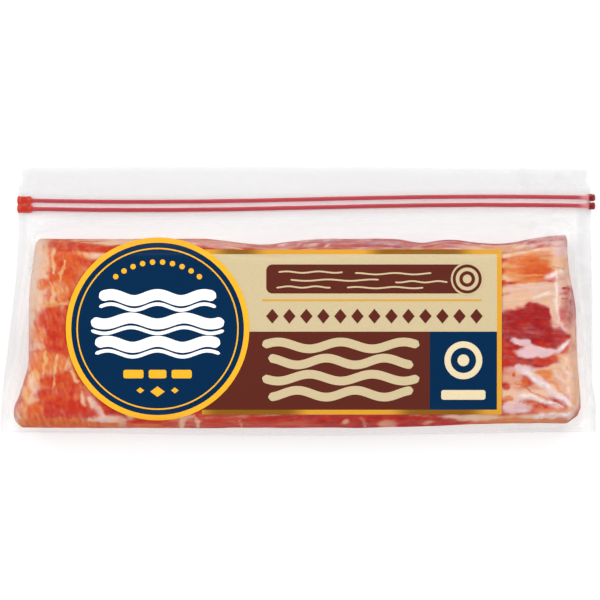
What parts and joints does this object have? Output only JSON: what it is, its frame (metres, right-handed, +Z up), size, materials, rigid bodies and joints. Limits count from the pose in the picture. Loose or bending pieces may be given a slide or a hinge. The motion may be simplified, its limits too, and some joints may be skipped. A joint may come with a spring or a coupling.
{
  "type": "bacon pack",
  "caption": "Clear zip-top pouch lying flat around a slab of streaky bacon rashers, with a round badge and a bordered label printed on its front.",
  "frame": {"origin": "centre of the bounding box on plan, at the table that the pack lies on", "axes": "+X along the pouch to the right of its printed face, +Y towards the zip, +Z up out of the printed face"},
  "size_m": [0.2984, 0.1362, 0.0292],
  "materials": {
    "film_over_bacon": "clear glossy film drawn tight over pink and red streaky bacon",
    "zip_plastic": "translucent red extruded plastic, pressed flat at both ends",
    "gold_foil_ink": "gold ink with a soft metallic shading along its length",
    "badge_gold_ink": "bright yellow gold ink",
    "tan_ink": "opaque light tan ink under glossy film",
    "brown_ink": "opaque dark red brown ink under glossy film",
    "navy_ink": "opaque navy ink under glossy film"
  },
  "bodies": {
    "root": {"bag": "film_over_bacon", "zip_rib_upper": "zip_plastic", "zip_rib_lower": "zip_plastic", "label_border": "gold_foil_ink", "label_tan_field": "tan_ink", "label_brown_field": "brown_ink", "label_navy_field": "navy_ink", "badge_rim": "badge_gold_ink", "badge_field": "navy_ink"}
  },
  "joints": []
}
